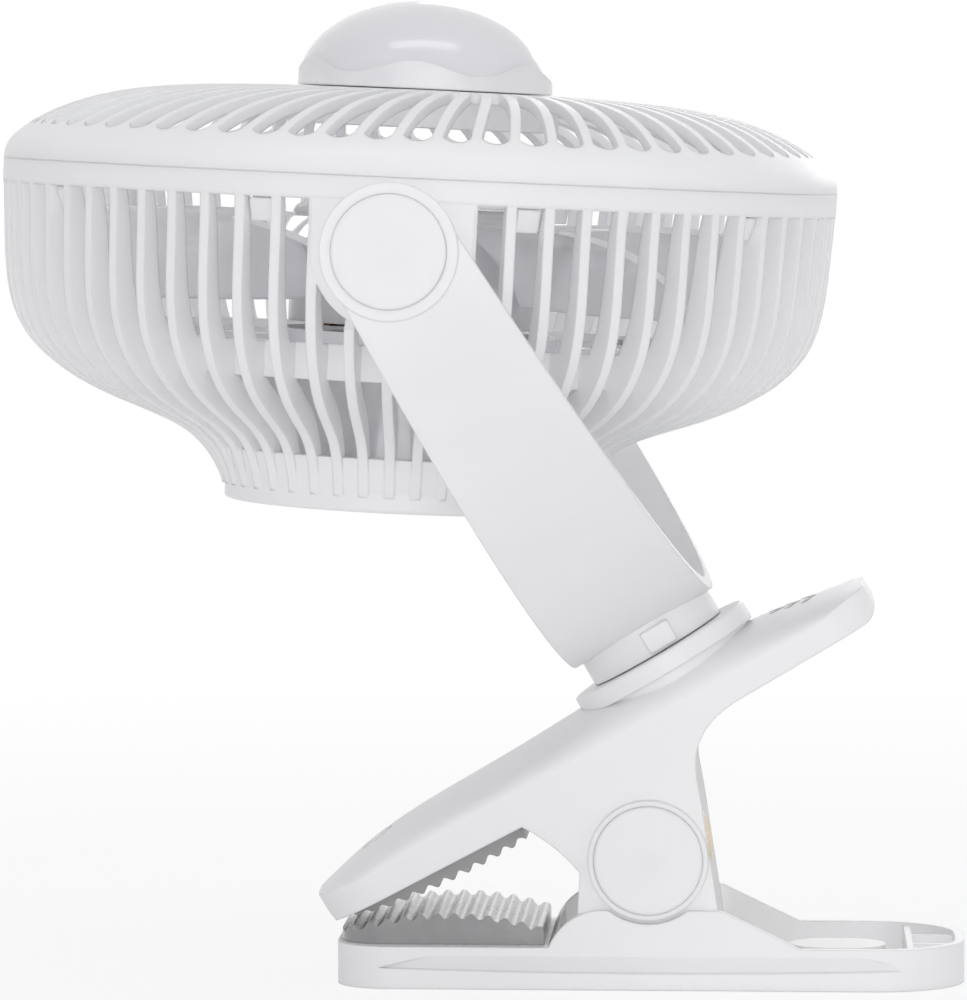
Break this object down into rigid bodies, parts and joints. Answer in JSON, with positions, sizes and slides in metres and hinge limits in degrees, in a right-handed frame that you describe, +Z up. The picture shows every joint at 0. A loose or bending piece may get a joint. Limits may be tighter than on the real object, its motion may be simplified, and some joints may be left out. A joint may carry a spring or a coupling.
{
  "type": "clip fan",
  "caption": "Cordless clip fan: round finned cage with a swirled front grille and a lamp dial, in a U fork on a swivel over a sprung clip with ribbed rubber pads.",
  "frame": {"origin": "on the resting face of the lower jaw, straight under the clip's hinge axis", "axes": "+X from the mouth to the handle, +Y across the clip, +Z up"},
  "size_m": [0.2202, 0.208, 0.2237],
  "materials": {
    "white_plastic": "satin",
    "white_gloss": "polished",
    "tinted_plastic": "polished",
    "clear_plastic": "translucent",
    "dome_plastic": "milky",
    "grey_rubber": "matte",
    "spring_steel": "drawn",
    "steel": "satin",
    "dark_steel": "satin",
    "brass": "satin",
    "magnet": "satin",
    "copper": "varnished",
    "board": "matte",
    "cell_wrap": "satin",
    "dark_plastic": "matte",
    "grey_plastic": "matte",
    "led_face": "satin",
    "lens": "translucent"
  },
  "bodies": {
    "clip_base": {"lower_jaw": "white_plastic", "lower_jaw_pad": "grey_rubber", "hinge_pin": "steel", "clip_spring": "spring_steel", "spring_spool": "grey_plastic"},
    "upper_jaw": {"upper_jaw": "white_plastic", "upper_jaw_pad": "grey_rubber", "hinge_caps": "white_plastic", "swivel_plate": "white_plastic", "plate_screws": "steel"},
    "fork": {"fork": "white_plastic", "swivel_bolt": "steel", "swivel_nut": "steel", "swivel_washers": "steel", "pivot_caps": "white_plastic", "pivot_washers": "grey_plastic"},
    "head": {"rear_cage": "white_plastic", "front_grille": "white_plastic", "motor_deck": "white_gloss", "compartment": "tinted_plastic", "rear_cover": "white_plastic", "cover_screws": "steel", "deck_screws": "steel", "pivot_inserts": "brass", "pivot_screws": "steel", "motor_bearings": "steel", "motor_stator": "dark_steel", "motor_windings": "copper", "motor_board": "board", "battery_cells": "cell_wrap", "battery_tray": "dark_plastic", "main_board": "board", "usb_port": "steel", "indicator_lens": "lens", "key_switches": "dark_plastic", "lamp_post": "white_gloss", "lamp_board": "board", "lamp_leds": "led_face", "dial_encoder": "dark_plastic"},
    "impeller": {"impeller": "clear_plastic", "rotor_can": "dark_steel", "magnet_ring": "magnet", "motor_shaft": "steel", "shaft_clip": "dark_steel"},
    "dial": {"dial_ring": "white_gloss", "lamp_dome": "dome_plastic"},
    "power_button": {"power_button": "grey_plastic"},
    "light_button": {"light_button": "grey_plastic"}
  },
  "joints": [
    {"name": "clip_hinge", "type": "hinge", "parent": "clip_base", "child": "upper_jaw", "pos_m": [0, 0, 0.0294], "axis": [0, 1, 0], "range_deg": [0, 28], "stiffness_Nm_per_rad": 2, "springref_deg": -34.38, "deforming": ["clip_spring"]},
    {"name": "swivel", "type": "hinge", "parent": "upper_jaw", "child": "fork", "pos_m": [0.00176, 0, 0.07527], "axis": [-0.512, 0, 0.859], "continuous": true},
    {"name": "head_tilt", "type": "hinge", "parent": "fork", "child": "head", "pos_m": [-0.05354, 0, 0.16804], "axis": [0, 1, 0], "range_deg": [-60, 120]},
    {"name": "fan_spin", "type": "hinge", "parent": "head", "child": "impeller", "pos_m": [-0.05371, 0, 0.16424], "axis": [0.0459, 0, 0.9989], "continuous": true},
    {"name": "dial_turn", "type": "hinge", "parent": "head", "child": "dial", "pos_m": [-0.0519, 0, 0.2037], "axis": [0.0459, 0, 0.9989], "range_deg": [0, 270]},
    {"name": "power_press", "type": "slide", "parent": "head", "child": "power_button", "axis": [0.0459, 0, 0.9989], "range_m": [0, 0.0006], "stiffness_N_per_m": 800, "springref_m": -0.001},
    {"name": "light_press", "type": "slide", "parent": "head", "child": "light_button", "axis": [0.0459, 0, 0.9989], "range_m": [0, 0.0006], "stiffness_N_per_m": 800, "springref_m": -0.001}
  ]
}
